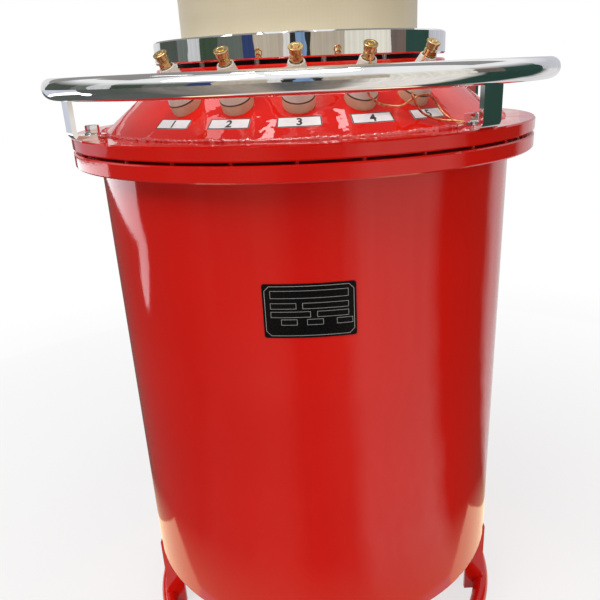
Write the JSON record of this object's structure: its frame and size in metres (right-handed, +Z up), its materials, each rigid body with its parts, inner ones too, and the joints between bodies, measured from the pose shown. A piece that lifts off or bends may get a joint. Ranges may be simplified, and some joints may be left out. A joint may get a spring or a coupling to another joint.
{
  "type": "high-voltage test transformer",
  "caption": "Round oil-filled test transformer on a ring base, with a cone lid, low-voltage terminals, a hand rail and one tall insulating tube with a shield cap.",
  "frame": {"origin": "middle of the footprint on the floor", "axes": "+Z up along the tank's axis, -Y is the front with the terminals and the rating plate, +X is to the right seen from the front"},
  "size_m": [0.5999, 0.6, 1.3625],
  "materials": {
    "red_paint": "gloss",
    "black_rubber": "matt",
    "polished_steel": "polished",
    "polished_aluminium": "polished",
    "cream_resin": "satin",
    "beige_resin": "satin",
    "brass": "turned",
    "copper": "bare"
  },
  "bodies": {
    "root": {"base_ring": "red_paint", "leg_front": "red_paint", "leg_right": "red_paint", "leg_back": "red_paint", "leg_left": "red_paint", "tank_floor": "red_paint", "tank_wall_shell": "red_paint", "tank_flange": "red_paint", "lid_flange": "red_paint", "lid_cone": "red_paint", "neck_plate": "red_paint", "flange_gasket": "black_rubber", "neck_gasket": "black_rubber", "clamp_ring": "polished_steel", "hand_rail": "polished_steel", "rail_bracket_1": "polished_steel", "rail_bracket_2": "polished_steel", "rail_bracket_3": "polished_steel", "rail_bracket_4": "polished_steel", "shield_cap": "polished_aluminium", "insulating_tube": "cream_resin", "bushing_1": "beige_resin", "bushing_2": "beige_resin", "bushing_3": "beige_resin", "bushing_4": "beige_resin", "bushing_5": "beige_resin", "terminal_1": "brass", "terminal_2": "brass", "terminal_3": "brass", "terminal_4": "brass", "terminal_5": "brass", "hv_terminal": "brass", "earth_wire_1": "copper", "earth_wire_2": "copper"}
  },
  "joints": []
}
